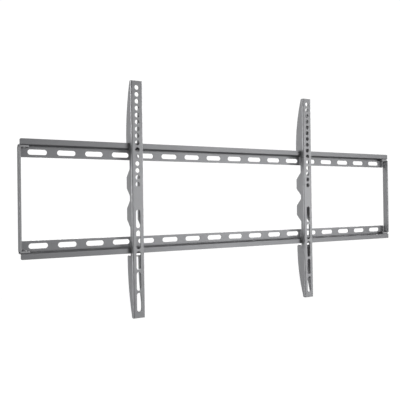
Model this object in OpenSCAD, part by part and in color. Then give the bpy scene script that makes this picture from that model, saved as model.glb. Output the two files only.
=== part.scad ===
// Low wall mount for a television: a long open plate that is fixed to the wall,
// and two upright arms that are screwed to the set and hooked over the plate.
// The wall is the plane Y = 0, the room is on the -Y side, X runs to the right
// and Z runs up. The origin is the centre of the wall slots, on the wall.

/* [Sheet] */
// Thickness of the steel sheet
sheet_t = 2; // [1.5:0.25:3]
// Inner radius of every fold
fold_r = 0.5; // [0.5:0.25:2]

/* [Wall plate] */
// Length of the plate along the wall
plate_w = 865; // [700:1:1000]
// Height of the plate over both lips
plate_h = 200; // [180:2:260]
// Depth of the plate from the wall to the front of its lips
plate_d = 17; // [15:0.5:24]
// Height of a lip above the ledge that it is folded from
lip_h = 9; // [8:0.5:14]
// Height of the flat strip that lies on the wall, up to the ledge
web_h = 19; // [17:0.5:26]
// Radius of the free corners of the rails
rail_corner_r = 2.5; // [1:0.5:4]

/* [Wall slots] */
// Distance between neighbouring slots
wall_slot_pitch = 50; // [40:1:60]
// Length of a slot from end to end
wall_slot_l = 33; // [20:1:36]
// Width of a slot
wall_slot_w = 9; // [6:0.5:10]
// Height of the slots' centre line above the free edge of the strip
wall_slot_rise = 9; // [8:0.5:10]
// Least metal between the last slot and the end of the plate
wall_slot_margin = 14; // [10:1:20]

/* [End bars] */
// Thickness of the bars' steel
bar_t = 3; // [2:0.25:3.5]
// How far a bar's outer face stands out beyond the ends of the rails
bar_overhang = 1.5; // [0:0.25:3]
// Length of the tab at each end of a bar, from the bar's outer face
tab_l = 17.5; // [15:0.5:24]
// Clearance between a tab and the fold at the wall
tab_gap = 1; // [0.3:0.1:1.5]
// Radius of the free corners of a tab
tab_corner_r = 2; // [1:0.5:3]

/* [Rivets] */
// Diameter of the shank
rivet_d = 4; // [3:0.2:4.8]
// Diameter of the domed head
rivet_head_d = 7.4; // [6:0.2:8]
// Height of the domed head
rivet_head_h = 1.6; // [1.2:0.1:2]
// Diameter of the closed end
rivet_tail_d = 6; // [5.6:0.2:7]
// Height of the closed end
rivet_tail_h = 1.2; // [0.8:0.1:1.6]
// Clearance round the shank in its holes
rivet_play = 0.05; // [0.05:0.05:0.2]
// Distance from the end of the plate to the middle of a rivet
rivet_inset = 8; // [7:0.5:10]

/* [Arms] */
// Width of an arm across its front
arm_w = 23; // [20:0.5:30]
// Distance between the middle lines of the two arms
arm_spacing = 400; // [200:50:500]
// Sideways place of the middle between the arms
arm_shift = -27.5; // [-60:0.5:60]
// Height of the arms' top end above the upper lip
arm_rise = 112; // [100:1:140]
// Depth of an arm's side where it passes in front of a lip
side_low_d = 10; // [8:0.5:14]
// Clearance between an arm's side and the front of a lip
lip_gap = 0.5; // [0.3:0.1:1]
// Clearance between an arm's side and the wall
wall_gap = 3.5; // [2.5:0.5:5]
// Depth of the side at the top and bottom ends
side_end_d = 6; // [5:0.5:8]
// Straight run of the side beyond each lip, before it curves to the end
side_run = 8; // [4:1:14]

/* [Hook and stop] */
// Clearance between the hook and the back of the upper lip
hook_gap = 0.7; // [0.4:0.1:1.5]
// Clearance between the hook's tip and the ledge
hook_end_gap = 2; // [1:0.5:3]
// Gap between the lower lip and the shoulder under it
shoulder_gap = 4; // [3:0.5:6]
// Width of the stop tab that is folded across under the lower lip
stop_w = 6; // [4:0.5:8]
// Width of the relief cuts beside the stop tab
stop_relief = 1; // [0.8:0.1:1.5]
// Clearance between the stop tab and the far side of the arm
stop_gap = 0.5; // [0.3:0.1:1]

/* [Waves] */
// Height of the middle of each wave above or below the middle of the plate
wave_z = 28.5; // [27:0.5:32]
// Length of the flat crown of a wave
wave_crown = 20.5; // [12:0.5:21]
// Radius of the corners of the waves
wave_r = 3; // [1:0.5:5]

/* [Screw holes] */
// Diameter of the round holes
hole_d = 8.5; // [6:0.5:9]
// Distance between neighbouring round holes
hole_pitch = 12.5; // [12:0.5:14]
// Number of round holes in an arm
hole_n = 15; // [10:1:15]
// Distance from an arm's top end to its first hole
hole_top = 12; // [8:0.5:20]
// Length of the upright slots from end to end
arm_slot_l = 33.5; // [20:0.5:34]
// Width of the upright slots
arm_slot_w = 8.5; // [6:0.5:9]
// Distance between neighbouring upright slots
arm_slot_pitch = 37.5; // [36:0.5:40]
// Number of upright slots in an arm
arm_slot_n = 5; // [3:1:5]
// Distance from the last round hole to the middle of the first slot
arm_slot_start = 62.5; // [50:0.5:70]
// Distance from the middle of the last slot to an arm's bottom end
arm_slot_end = 28.5; // [24:0.5:40]

/* [Hidden] */
$fn = 48;
steel = [0.56, 0.56, 0.58];
bright = [0.72, 0.72, 0.73];

// Small extra length of a cutter past the face that it opens
past = 1;
fold_out = fold_r + sheet_t;
bar_fold_out = fold_r + bar_t;

// Rail, for the upper one: heights of the ledge and of the strip's free edge
lip_top = plate_h / 2;
ledge_top = lip_top - lip_h;
ledge_low = ledge_top - sheet_t;
web_edge = ledge_low - web_h;
wall_slot_z = web_edge + wall_slot_rise;
wall_slot_side = floor((plate_w / 2 - wall_slot_margin - wall_slot_l / 2) / wall_slot_pitch);

// Tab and rivet: how far in front of the wall they begin and end
tab_back = fold_out + tab_gap;
tab_front = plate_d - fold_out;
rivet_y = (tab_back + tab_front) / 2;
grip = sheet_t + bar_t;
tab_low = ledge_low - bar_t;
bar_x = plate_w / 2 + bar_overhang;

// Arm: places in depth behind its front face, and heights from the origin
face_y = plate_d + lip_gap + side_low_d;
side_d = face_y - wall_gap;
hook_d = side_low_d + lip_gap + sheet_t + hook_gap;
arm_top = lip_top + arm_rise;
hole_z = arm_top - hole_top;
arm_slot_z = hole_z - (hole_n - 1) * hole_pitch - arm_slot_start;
arm_low = arm_slot_z - (arm_slot_n - 1) * arm_slot_pitch - arm_slot_end;
shoulder_z = -lip_top - shoulder_gap;
hook_z = ledge_top + hook_end_gap;
wave_rise = side_d - side_low_d;
stop_near = side_low_d + stop_relief;

// Corner radii of an arm's side
end_r = 2.5;
hook_r = 2;
shoulder_r = 4;
corner_steps = 6;
curve_steps = 16;

// Turns a drawing of depth and height into a solid along X
module along_x(length) {
    rotate([90, 0, 90])
        linear_extrude(height = length, center = true)
            children();
}

// Quarter ring of one fold, with its centre at the origin, in the quadrant where both
// coordinates are negative
module fold_ring(thickness = sheet_t) {
    outer = fold_r + thickness;
    difference() {
        intersection() {
            circle(r = outer);
            translate([-outer, -outer]) square(outer);
        }
        circle(r = fold_r);
    }
}

// What is cut from a square corner to round it. The corner is at the origin and the
// sheet lies where both coordinates are negative.
module corner_waste(r) {
    difference() {
        translate([-r, -r]) square(r + past);
        translate([-r, -r]) circle(r = r);
    }
}

// Slot cutter along X, centred, through a sheet that lies across Y
module slot_cutter(length, width, depth) {
    reach = length / 2 - width / 2;
    for (side = [-1, 1])
        translate([side * reach, 0, 0])
            rotate([90, 0, 0])
                cylinder(d = width, h = depth, center = true);
    cube([2 * reach, depth, width], center = true);
}

// Section of the upper rail: strip on the wall, ledge towards the room, lip upwards
module rail_section() {
    translate([-sheet_t, web_edge])
        square([sheet_t, ledge_top - fold_out - web_edge]);
    translate([-fold_out, ledge_top - fold_out])
        mirror([1, 0])
            mirror([0, 1])
                fold_ring();
    translate([-plate_d + fold_out, ledge_low])
        square([plate_d - 2 * fold_out, sheet_t]);
    translate([-plate_d + fold_out, ledge_low + fold_out])
        fold_ring();
    translate([-plate_d, ledge_low + fold_out])
        square([sheet_t, lip_top - ledge_low - fold_out]);
}

module rail() {
    difference() {
        along_x(plate_w) rail_section();
        for (n = [-wall_slot_side : wall_slot_side])
            translate([n * wall_slot_pitch, -sheet_t / 2, wall_slot_z])
                slot_cutter(wall_slot_l, wall_slot_w, sheet_t + 2 * past);
        for (side = [0, 1])
            mirror([side, 0, 0]) {
                translate([plate_w / 2, 0, lip_top])
                    rotate([90, 0, 0])
                        linear_extrude(height = plate_d + past)
                            corner_waste(rail_corner_r);
                translate([plate_w / 2, past, web_edge])
                    mirror([0, 0, 1])
                        rotate([90, 0, 0])
                            linear_extrude(height = sheet_t + 2 * past)
                                corner_waste(rail_corner_r);
                translate([plate_w / 2 - rivet_inset, -rivet_y, ledge_low - past])
                    cylinder(d = rivet_d + 2 * rivet_play, h = sheet_t + 2 * past);
            }
    }
}

module upper_rail() {
    color(steel) rail();
}

module lower_rail() {
    color(steel) mirror([0, 0, 1]) rail();
}

// Plan of the right-hand bar's tab, from its free end to its fold, with X = 0 at the bar's
// outer face and Y = 0 on the wall
module tab_plan() {
    difference() {
        translate([-tab_l, -tab_front])
            square([tab_l - bar_fold_out, tab_front - tab_back]);
        translate([-tab_l, -tab_back])
            mirror([1, 0])
                corner_waste(tab_corner_r);
        translate([-tab_l, -tab_front])
            mirror([1, 0])
                mirror([0, 1])
                    corner_waste(tab_corner_r);
        translate([-rivet_inset - bar_overhang, -rivet_y])
            circle(d = rivet_d + 2 * rivet_play);
    }
}

// Folded top end of the right-hand bar: the fold, and the tab under the ledge
module bar_end() {
    translate([bar_x, 0, tab_low])
        linear_extrude(height = bar_t)
            tab_plan();
    translate([bar_x - bar_fold_out, -tab_back, ledge_low - bar_fold_out])
        rotate([90, 0, 0])
            linear_extrude(height = tab_front - tab_back)
                mirror([1, 0])
                    mirror([0, 1])
                        fold_ring(bar_t);
}

// Right-hand bar: a strip on edge that closes the end of the plate, tabs at both ends
module end_bar() {
    strip_h = 2 * (ledge_low - bar_fold_out);
    translate([bar_x - bar_t, -plate_d, -strip_h / 2])
        cube([bar_t, plate_d - tab_back, strip_h]);
    for (side = [0, 1])
        mirror([0, 0, side])
            bar_end();
}

module left_end_bar() {
    color(steel) mirror([1, 0, 0]) end_bar();
}

module right_end_bar() {
    color(steel) end_bar();
}

// Dome with a flat base at Z = 0
module dome(width, height) {
    ball_r = (width * width / 4 + height * height) / (2 * height);
    intersection() {
        translate([0, 0, height - ball_r]) sphere(r = ball_r);
        cylinder(d = width + past, h = height + past);
    }
}

// Rivet of the upper right corner: its domed head is under the tab
module rivet() {
    translate([plate_w / 2 - rivet_inset, -rivet_y, tab_low]) {
        cylinder(d = rivet_d, h = grip);
        mirror([0, 0, 1]) dome(rivet_head_d, rivet_head_h);
        translate([0, 0, grip]) dome(rivet_tail_d, rivet_tail_h);
    }
}

module upper_left_rivet() {
    color(bright) mirror([1, 0, 0]) rivet();
}

module lower_left_rivet() {
    color(bright) mirror([1, 0, 0]) mirror([0, 0, 1]) rivet();
}

module upper_right_rivet() {
    color(bright) rivet();
}

module lower_right_rivet() {
    color(bright) mirror([0, 0, 1]) rivet();
}

function unit(v) = v / norm(v);

// Shortest turn from one angle to another
function turn(from, to) = (to - from + 540) % 360 - 180;

// Points of the corner at b, between a and c, rounded to the radius r
function corner(a, b, c, r) =
    r == 0 ? [b] :
    let (u = unit(a - b))
    let (v = unit(c - b))
    let (half = acos(u * v) / 2)
    let (middle = b + unit(u + v) * r / sin(half))
    let (start = b + u * r / tan(half) - middle)
    let (stop = b + v * r / tan(half) - middle)
    let (from = atan2(start[1], start[0]))
    let (sweep = turn(from, atan2(stop[1], stop[0])))
    [for (i = [0 : corner_steps])
        middle + r * [cos(from + sweep * i / corner_steps), sin(from + sweep * i / corner_steps)]];

// A closed outline from a list of [depth, height, radius]
function rounded(list) =
    let (n = len(list))
    let (at = [for (p = list) [p[0], p[1]]])
    [for (i = [0 : n - 1])
        each corner(at[(i + n - 1) % n], at[i], at[(i + 1) % n], list[i][2])];

// Curved back edge of one end of an arm: an arc that leaves the full depth at the height
// "from" and reaches the end's own depth at the height "to"
function end_curve(from, to) =
    let (drop = side_d - side_end_d)
    let (run = abs(to - from))
    let (r = (run * run + drop * drop) / (2 * drop))
    let (sweep = asin(run / r))
    [for (i = [0 : curve_steps])
        [side_d - r + r * cos(sweep * i / curve_steps),
            from + sign(to - from) * r * sin(sweep * i / curve_steps),
            i == curve_steps ? end_r : 0]];

function backwards(list) = [for (i = [len(list) - 1 : -1 : 0]) list[i]];

// One wave of the back edge, from its upper foot to its lower foot, with 45 degree slopes
function wave(middle) = [
    [side_low_d, middle + wave_crown / 2 + wave_rise, wave_r],
    [side_d, middle + wave_crown / 2, wave_r],
    [side_d, middle - wave_crown / 2, wave_r],
    [side_low_d, middle - wave_crown / 2 - wave_rise, wave_r]];

// Outline of an arm seen from its side: depth behind the front face, and height
arm_side = rounded(concat(
    [[0, arm_low, 0], [0, arm_top, 0]],
    backwards(end_curve(lip_top + side_run, arm_top)),
    [[side_d, hook_z, hook_r],
        [hook_d, hook_z, hook_r],
        [hook_d, lip_top, 0],
        [side_low_d, lip_top, 0]],
    wave(wave_z),
    wave(-wave_z),
    [[side_low_d, shoulder_z, 0],
        [side_d, shoulder_z, shoulder_r]],
    end_curve(-lip_top - side_run, arm_low)));

// Section of an arm: the front face and the two sides folded back from it
module arm_section() {
    translate([-arm_w / 2 + fold_out, 0])
        square([arm_w - 2 * fold_out, sheet_t]);
    for (side = [0, 1])
        mirror([side, 0]) {
            translate([-arm_w / 2 + fold_out, fold_out])
                fold_ring();
            translate([-arm_w / 2, fold_out])
                square([sheet_t, side_d - fold_out]);
        }
}

// Room for the stop tab's fold and its relief cuts, in the left side at the shoulder
module stop_room() {
    translate([-arm_w / 2 - past, stop_near - stop_relief, shoulder_z - fold_out])
        cube([sheet_t + 2 * past, stop_w + 2 * stop_relief, fold_out + past]);
}

// Stop tab: folded from the left side's shoulder, across to the right side
module stop_tab() {
    reach = arm_w - fold_out - sheet_t - stop_gap;
    translate([-arm_w / 2 + fold_out, stop_near + stop_w, shoulder_z - fold_out])
        rotate([90, 0, 0])
            linear_extrude(height = stop_w) {
                mirror([0, 1]) fold_ring();
                translate([0, fold_r]) square([reach, sheet_t]);
            }
}

// An arm with its front face at Y = 0 and its middle line at X = 0
module arm() {
    difference() {
        intersection() {
            translate([0, 0, arm_low])
                linear_extrude(height = arm_top - arm_low)
                    arm_section();
            along_x(arm_w + 2 * past)
                polygon(arm_side);
        }
        stop_room();
        for (n = [0 : hole_n - 1])
            translate([0, sheet_t / 2, hole_z - n * hole_pitch])
                rotate([90, 0, 0])
                    cylinder(d = hole_d, h = sheet_t + 2 * past, center = true);
        for (n = [0 : arm_slot_n - 1])
            translate([0, sheet_t / 2, arm_slot_z - n * arm_slot_pitch])
                rotate([0, 90, 0])
                    slot_cutter(arm_slot_l, arm_slot_w, sheet_t + 2 * past);
    }
    stop_tab();
}

module left_arm() {
    color(steel) translate([arm_shift - arm_spacing / 2, -face_y, 0]) arm();
}

module right_arm() {
    color(steel) translate([arm_shift + arm_spacing / 2, -face_y, 0]) arm();
}

upper_rail();
lower_rail();
left_end_bar();
right_end_bar();
upper_left_rivet();
lower_left_rivet();
upper_right_rivet();
lower_right_rivet();
left_arm();
right_arm();
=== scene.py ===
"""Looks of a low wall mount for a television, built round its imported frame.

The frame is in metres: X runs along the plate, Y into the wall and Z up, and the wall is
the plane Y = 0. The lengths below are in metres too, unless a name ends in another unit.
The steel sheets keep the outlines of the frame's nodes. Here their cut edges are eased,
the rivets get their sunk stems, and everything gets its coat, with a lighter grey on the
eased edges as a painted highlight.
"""
import math

import bmesh
import bpy
import numpy as np
from mathutils import Matrix, Vector


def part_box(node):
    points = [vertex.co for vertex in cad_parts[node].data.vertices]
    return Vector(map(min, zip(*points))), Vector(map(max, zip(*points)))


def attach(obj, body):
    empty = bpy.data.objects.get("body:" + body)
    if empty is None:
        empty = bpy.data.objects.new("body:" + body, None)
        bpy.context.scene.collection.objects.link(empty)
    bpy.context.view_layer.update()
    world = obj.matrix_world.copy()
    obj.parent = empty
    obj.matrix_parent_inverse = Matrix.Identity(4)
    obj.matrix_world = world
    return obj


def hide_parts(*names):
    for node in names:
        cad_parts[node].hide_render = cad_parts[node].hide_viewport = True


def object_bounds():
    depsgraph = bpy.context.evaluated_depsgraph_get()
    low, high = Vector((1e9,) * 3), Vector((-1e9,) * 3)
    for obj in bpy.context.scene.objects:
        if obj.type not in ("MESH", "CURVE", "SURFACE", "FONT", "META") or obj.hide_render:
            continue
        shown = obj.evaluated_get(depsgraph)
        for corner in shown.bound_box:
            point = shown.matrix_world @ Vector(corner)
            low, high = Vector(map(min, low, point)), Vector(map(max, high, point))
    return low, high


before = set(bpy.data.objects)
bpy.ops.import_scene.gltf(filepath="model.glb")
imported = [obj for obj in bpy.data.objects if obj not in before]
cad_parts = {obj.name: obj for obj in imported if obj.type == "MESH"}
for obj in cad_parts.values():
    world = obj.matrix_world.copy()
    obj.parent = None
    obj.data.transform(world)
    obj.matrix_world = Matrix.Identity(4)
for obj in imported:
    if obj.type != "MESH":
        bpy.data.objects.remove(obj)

cad_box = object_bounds()

# Camera, as fitted to the edges and holes of the photographed plate
LENS_MM = 51.02
SENSOR_MM = 36.0
EYE = Vector((-0.6477, -0.9659, -0.0103))
YAW_DEG = 30.36
PITCH_DEG = 0.31
ROLL_DEG = -0.73

# Sheets
MERGE = 1e-6
FLAT_DEG = 0.05
SHARP_DEG = 40
SHEARED_EDGE = 0.00022
ROLLED_EDGE = 0.0007
EDGE_STEPS = 3
SHEET_NORMAL_WEIGHT = 80

# Material slots of a sheet, and how squarely a face looks along Y to count as an edge
FACE_SLOT = 0
EDGE_SLOT = 1
EDGE_FACING = 0.9

# Rivets, which have the frame's own outer form
TURN_STEPS = 64
DOME_STEPS = 14
HEAD_H = 0.0016
TAIL_H = 0.0012
TAIL_R = 0.003
SHANK_R = 0.002
STEM_R = 0.0011
STEM_PIT = 0.0009
STEM_EASE = 0.00015
RIVET_NORMAL_WEIGHT = 60

# Colours of the powder coat
PLATE_GREY = (0.25, 0.252, 0.262)
BAR_GREY = (0.218, 0.22, 0.228)
ARM_GREY = (0.3, 0.302, 0.312)
# The two edge greys are lighter than the faces they border: a painted highlight on the eased
# edges
EDGE_HIGHLIGHT_GREY = (0.34, 0.342, 0.352)
BAR_EDGE_HIGHLIGHT_GREY = (0.37, 0.372, 0.38)

# Powder coat: sizes of its flake, its lumps and its clouds, and what they change
FLAKE = 0.0009
PEEL = 0.0022
CLOUD = 0.07
FLAKE_SHARE = 0.45
CLOUD_SHARE = 0.55
DARKEST = 0.84
LIGHTEST = 1.16
COAT_ROUGHNESS_RANGE = 0.12
COAT_METALLIC = 0.35
PEEL_RISE = 0.8
FLAKE_RISE = 0.2
COAT_BUMP = 0.35
COAT_RELIEF = 0.00006

# Zinc plate: size of the setting tool's marks, and what they change
MARK = 0.0006
ZINC_DARK = (0.78, 0.78, 0.79)
ZINC_LIGHT = (0.95, 0.95, 0.96)
ZINC_ROUGHNESS = 0.3
ZINC_ROUGHNESS_RANGE = 0.16
ZINC_METALLIC = 0.35
ZINC_BUMP = 0.2
ZINC_RELIEF = 0.00003

# Lights: name, azimuth and elevation in degrees, and power in watts
SOFTBOX_AWAY = 2.6
SOFTBOX_SIZE = 1.3
SOFTBOXES = [
    ("key", 35, 0, 24),
    ("front", 13, 0, 9),
    ("front_left", -48, 0, 9),
    ("left_side", -107, 4, 59),
    ("right_side", 88, 12, 34),
    ("rear_right", 135, 6, 42),
    ("rear", 172, 6, 38),
    ("high_rear", 165, 50, 10),
]

# Surroundings: what the camera sees, what falls on the steel, and the floor
WHITE = (1, 1, 1, 1)
WORLD_SEEN = 1.05
WORLD_LIGHT = 0.01
FLOOR_DROP = 1.2
FLOOR_REACH = 8.0
FLOOR_COLOUR = (0.93, 0.93, 0.93, 1)
FLOOR_ROUGHNESS = 0.9
FLOOR_GLOW = 1.0

# Sockets of a Mix node that mixes colours
MIX_SHARE = 0
MIX_FIRST = 6
MIX_SECOND = 7
MIX_RESULT = 2


def add_object(name, data):
    """A new object in the scene."""
    added = bpy.data.objects.new(name, data)
    bpy.context.scene.collection.objects.link(added)
    return added


def camera():
    """Camera of the photograph: no shift, turned by the fitted yaw, pitch and roll."""
    yaw = math.radians(YAW_DEG)
    pitch = math.radians(PITCH_DEG)
    roll = math.radians(ROLL_DEG)
    flat = math.cos(pitch)
    ahead = Vector((math.sin(yaw) * flat, math.cos(yaw) * flat, math.sin(pitch)))
    level = Vector((math.cos(yaw), -math.sin(yaw), 0))
    upright = level.cross(ahead)
    right = math.cos(roll) * level + math.sin(roll) * upright
    up = -math.sin(roll) * level + math.cos(roll) * upright
    lens = bpy.data.cameras.new("camera")
    lens.lens = LENS_MM
    lens.sensor_width = SENSOR_MM
    eye = add_object("camera", lens)
    turn = Matrix((right, up, -ahead)).transposed()
    eye.matrix_world = Matrix.Translation(EYE) @ turn.to_4x4()
    bpy.context.scene.camera = eye


class Value:
    """A socket of a coat. Its operators add Math nodes, so a pattern reads as a formula."""

    def __init__(self, coat, socket):
        self.coat = coat
        self.socket = socket

    def __add__(self, other):
        return self.coat.maths("ADD", self, other)

    def __radd__(self, other):
        return self.coat.maths("ADD", other, self)

    def __mul__(self, other):
        return self.coat.maths("MULTIPLY", self, other)

    def __rmul__(self, other):
        return self.coat.maths("MULTIPLY", other, self)


class Coat:
    """A material under construction. Its patterns lie in the object's own metres."""

    def __init__(self, name):
        self.material = bpy.data.materials.new(name)
        self.material.use_nodes = True
        self.tree = self.material.node_tree
        self.tree.nodes.clear()
        self.place = self.add("ShaderNodeTexCoord", output="Object")

    def add(self, kind, settings=None, sockets=None, output=0):
        """Adds any node: its settings first, then the value or link of each socket."""
        node = self.tree.nodes.new(kind)
        for key, value in (settings or {}).items():
            setattr(node, key, value)
        for key, value in (sockets or {}).items():
            if isinstance(value, Value):
                self.tree.links.new(value.socket, node.inputs[key])
            else:
                node.inputs[key].default_value = value
        return Value(self, node.outputs[output]) if node.outputs else None

    def maths(self, operation, first, second):
        return self.add("ShaderNodeMath", {"operation": operation}, {0: first, 1: second})

    def noise(self, size, detail):
        """Noise from 0 to 1 whose lumps are about size metres across."""
        sockets = {"Vector": self.place, "Scale": 1 / size, "Detail": detail}
        return self.add("ShaderNodeTexNoise", {}, sockets, "Fac")

    def blend(self, share, first, second):
        """Colour that goes from the first to the second as share goes from 0 to 1."""
        settings = {"data_type": "RGBA"}
        sockets = {MIX_SHARE: share, MIX_FIRST: first, MIX_SECOND: second}
        return self.add("ShaderNodeMix", settings, sockets, MIX_RESULT)

    def bump(self, height, strength, distance):
        sockets = {"Height": height, "Strength": strength, "Distance": distance}
        return self.add("ShaderNodeBump", {}, sockets)

    def finish(self, sockets):
        shader = self.add("ShaderNodeBsdfPrincipled", {}, sockets)
        self.add("ShaderNodeOutputMaterial", {}, {"Surface": shader})
        return self.material


def shade(colour, factor=1):
    """A colour made lighter or darker, with full alpha."""
    return (colour[0] * factor, colour[1] * factor, colour[2] * factor, 1)


def powder_coat(name, colour, roughness):
    """Satin powder coat: fine flake, the low lumps of the cured powder and a faint cloudiness."""
    coat = Coat(name)
    flake = coat.noise(FLAKE, detail=1.0)
    cloud = coat.noise(CLOUD, detail=3.0)
    peel = coat.noise(PEEL, detail=2.0)
    share = flake * FLAKE_SHARE + cloud * CLOUD_SHARE
    smoothest = roughness - COAT_ROUGHNESS_RANGE / 2
    return coat.finish({
        "Base Color": coat.blend(share, shade(colour, DARKEST), shade(colour, LIGHTEST)),
        "Roughness": smoothest + peel * COAT_ROUGHNESS_RANGE,
        "Metallic": COAT_METALLIC,
        "Normal": coat.bump(peel * PEEL_RISE + flake * FLAKE_RISE, COAT_BUMP, COAT_RELIEF),
    })


def zinc(name):
    """Bright zinc plate on the rivets, with the faint marks of the setting tool."""
    coat = Coat(name)
    marks = coat.noise(MARK, detail=3.0)
    return coat.finish({
        "Base Color": coat.blend(marks, shade(ZINC_DARK), shade(ZINC_LIGHT)),
        "Roughness": ZINC_ROUGHNESS + marks * ZINC_ROUGHNESS_RANGE,
        "Metallic": ZINC_METALLIC,
        "Normal": coat.bump(marks, ZINC_BUMP, ZINC_RELIEF),
    })


def eased_sheet(node, body, coat, edge_highlight_coat, edge, on_edge=False):
    """The folded sheet of a node with its corners merged and every cut edge rounded.

    A strip that stands on edge shows its cut edges to the wall and to the room. The rounded edges
    and a strip's cut edges get the lighter edge coat: a painted highlight.
    """
    flat = math.radians(FLAT_DEG)
    shape = bmesh.new()
    shape.from_mesh(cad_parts[node].data)
    bmesh.ops.remove_doubles(shape, verts=shape.verts, dist=MERGE)
    bmesh.ops.dissolve_limit(shape, angle_limit=flat, verts=shape.verts, edges=shape.edges)
    for face in shape.faces:
        is_edge = on_edge and abs(face.normal.y) > EDGE_FACING
        face.smooth = True
        face.material_index = EDGE_SLOT if is_edge else FACE_SLOT
    mesh = bpy.data.meshes.new(node + "_sheet")
    shape.to_mesh(mesh)
    shape.free()
    mesh.materials.append(coat)
    mesh.materials.append(edge_highlight_coat)
    sheet = add_object(node + "_sheet", mesh)
    ease = sheet.modifiers.new("eased_edges", "BEVEL")
    ease.width = edge
    ease.segments = EDGE_STEPS
    ease.limit_method = "ANGLE"
    ease.angle_limit = math.radians(SHARP_DEG)
    ease.material = EDGE_SLOT
    normals = sheet.modifiers.new("flat_faces", "WEIGHTED_NORMAL")
    normals.weight = SHEET_NORMAL_WEIGHT
    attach(sheet, body)
    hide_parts(node)


def arc_profile(radius, height, start):
    """Points (r, z) down a dome of that radius and height, from the radius start to its rim.

    The dome is a cap of a ball: z = sqrt(R * R - r * r) - (R - height), with the ball's radius
    R = (radius * radius + height * height) / (2 * height).
    """
    ball = (radius * radius + height * height) / (2 * height)
    first = math.asin(start / ball)
    last = math.asin(radius / ball)
    angle = np.linspace(first, last, DOME_STEPS)
    return np.stack([ball * np.sin(angle), ball * np.cos(angle) - (ball - height)], axis=1)


def rivet_profile(head_r, grip):
    """Points (r, z) of a rivet, from the middle of its head to the middle of its tail.

    The head's base is at z = 0 and the tail's is at z = -grip. Where the stem broke off, a
    flat pit is sunk into the middle of the head.
    """
    pit_z = HEAD_H - STEM_PIT
    pit = np.array([[0, pit_z], [STEM_R - STEM_EASE, pit_z], [STEM_R, pit_z]])
    head = arc_profile(head_r, HEAD_H, STEM_R + STEM_EASE)
    shank = np.array([[SHANK_R, 0], [SHANK_R, -grip]])
    tail = arc_profile(TAIL_R, TAIL_H, 0.0)[::-1]
    tail = np.stack([tail[:, 0], -grip - tail[:, 1]], axis=1)
    return np.concatenate([pit, head, shank, tail])


def revolved(name, profile):
    """Closed mesh of a profile of points (r, z) that is carried round the Z axis.

    Ring i has the points (r_i * cos a, r_i * sin a, z_i). The first and the last point are
    the poles, each one vertex that closes its end with a fan.
    """
    angle = np.linspace(0, 2 * math.pi, TURN_STEPS, endpoint=False)
    rings = profile[1:-1]
    x = rings[:, :1] * np.cos(angle)
    y = rings[:, :1] * np.sin(angle)
    z = np.repeat(rings[:, 1:], TURN_STEPS, axis=1)
    points = np.stack([x, y, z], axis=2).reshape(-1, 3)
    poles = np.array([[0, 0, profile[0, 1]], [0, 0, profile[-1, 1]]])
    points = np.concatenate([points, poles])
    here = np.arange(TURN_STEPS)
    there = (here + 1) % TURN_STEPS
    row = np.arange(len(rings) - 1)[:, None] * TURN_STEPS
    below = row + TURN_STEPS
    quads = np.stack([row + here, row + there, below + there, below + here], axis=2)
    first_pole = np.full(TURN_STEPS, len(points) - 2)
    last_pole = np.full(TURN_STEPS, len(points) - 1)
    last_row = (len(rings) - 1) * TURN_STEPS
    caps = [np.stack([first_pole, there, here], axis=1),
            np.stack([last_pole, last_row + here, last_row + there], axis=1)]
    faces = quads.reshape(-1, 4).tolist() + np.concatenate(caps).tolist()
    mesh = bpy.data.meshes.new(name)
    mesh.from_pydata(points.tolist(), [], faces)
    mesh.polygons.foreach_set("use_smooth", np.ones(len(mesh.polygons), bool))
    return mesh


def set_rivet(node, body, coat):
    """A set rivet with its sunk stem, in the place of a node. Its head points at Z = 0."""
    low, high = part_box(node)
    middle = (low + high) / 2
    head_r = (high.x - low.x) / 2
    grip = high.z - low.z - HEAD_H - TAIL_H
    head_down = middle.z > 0
    mesh = revolved(node + "_set", rivet_profile(head_r, grip))
    base = low.z + HEAD_H if head_down else high.z - HEAD_H
    place = Matrix.Translation((middle.x, middle.y, base))
    if head_down:
        place = place @ Matrix.Rotation(math.pi, 4, "X")
    mesh.transform(place)
    mesh.materials.append(coat)
    shape = bmesh.new()
    shape.from_mesh(mesh)
    bmesh.ops.recalc_face_normals(shape, faces=shape.faces)
    shape.to_mesh(mesh)
    shape.free()
    rivet = add_object(node + "_set", mesh)
    normals = rivet.modifiers.new("flat_faces", "WEIGHTED_NORMAL")
    normals.weight = RIVET_NORMAL_WEIGHT
    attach(rivet, body)
    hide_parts(node)


def softbox(name, azimuth, elevation, watts):
    """A square area light that looks at the origin.

    Azimuth 0 is straight in front of the wall and 90 degrees is on the right.
    """
    a = math.radians(azimuth)
    e = math.radians(elevation)
    way = Vector((math.sin(a) * math.cos(e), -math.cos(a) * math.cos(e), math.sin(e)))
    place = SOFTBOX_AWAY * way
    lamp = bpy.data.lights.new(name, "AREA")
    lamp.size = SOFTBOX_SIZE
    lamp.energy = watts
    lit = add_object(name, lamp)
    lit.location = place
    lit.rotation_euler = (-place).to_track_quat("-Z", "Y").to_euler()


def white_background(tree, strength):
    node = tree.nodes.new("ShaderNodeBackground")
    node.inputs["Color"].default_value = WHITE
    node.inputs["Strength"].default_value = strength
    return node.outputs["Background"]


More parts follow.
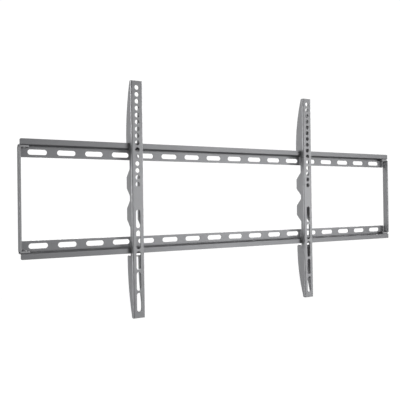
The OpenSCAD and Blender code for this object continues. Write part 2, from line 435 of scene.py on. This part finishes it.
def surroundings():
    """A world that the camera sees as white, and that hardly lights the steel."""
    world = bpy.data.worlds.new("studio")
    bpy.context.scene.world = world
    world.use_nodes = True
    tree = world.node_tree
    tree.nodes.clear()
    seen = tree.nodes.new("ShaderNodeLightPath")
    both = tree.nodes.new("ShaderNodeMixShader")
    out = tree.nodes.new("ShaderNodeOutputWorld")
    tree.links.new(seen.outputs["Is Camera Ray"], both.inputs["Fac"])
    tree.links.new(white_background(tree, WORLD_LIGHT), both.inputs[1])
    tree.links.new(white_background(tree, WORLD_SEEN), both.inputs[2])
    tree.links.new(both.outputs["Shader"], out.inputs["Surface"])


def pale_floor():
    """A level square well below the mount, which neither lights it nor shows in its gloss."""
    reach = FLOOR_REACH
    z = cad_box[0].z - FLOOR_DROP
    corners = [(-reach, -reach, z), (reach, -reach, z), (reach, reach, z), (-reach, reach, z)]
    mesh = bpy.data.meshes.new("floor")
    mesh.from_pydata(corners, [], [[0, 1, 2, 3]])
    floor = add_object("floor", mesh)
    coat = Coat("pale_floor")
    mesh.materials.append(coat.finish({
        "Base Color": FLOOR_COLOUR,
        "Roughness": FLOOR_ROUGHNESS,
        "Emission Color": WHITE,
        "Emission Strength": FLOOR_GLOW,
    }))
    floor.visible_diffuse = False
    floor.visible_glossy = False


camera()
surroundings()
for name, azimuth, elevation, watts in SOFTBOXES:
    softbox(name, azimuth, elevation, watts)
pale_floor()
bpy.context.scene.view_settings.view_transform = "Standard"

plate_coat = powder_coat("plate_coat", PLATE_GREY, roughness=0.42)
bar_coat = powder_coat("bar_coat", BAR_GREY, roughness=0.42)
arm_coat = powder_coat("arm_coat", ARM_GREY, roughness=0.4)
# Painted highlight: the edge coats are lighter greys on the eased edges, in place of light
# catching them
edge_highlight_coat = powder_coat("edge_highlight_coat", EDGE_HIGHLIGHT_GREY, roughness=0.36)
bar_edge_highlight_coat = powder_coat("bar_edge_highlight_coat", BAR_EDGE_HIGHLIGHT_GREY, roughness=0.4)
rivet_zinc = zinc("rivet_zinc")

for node in ["upper_rail", "lower_rail"]:
    eased_sheet(node, "root", plate_coat, edge_highlight_coat, SHEARED_EDGE)
for node in ["left_end_bar", "right_end_bar"]:
    eased_sheet(node, "root", bar_coat, bar_edge_highlight_coat, ROLLED_EDGE, on_edge=True)
for node in ["left_arm", "right_arm"]:
    eased_sheet(node, "root", arm_coat, edge_highlight_coat, SHEARED_EDGE)
for node in ["upper_left_rivet", "lower_left_rivet", "upper_right_rivet", "lower_right_rivet"]:
    set_rivet(node, "root", rivet_zinc)
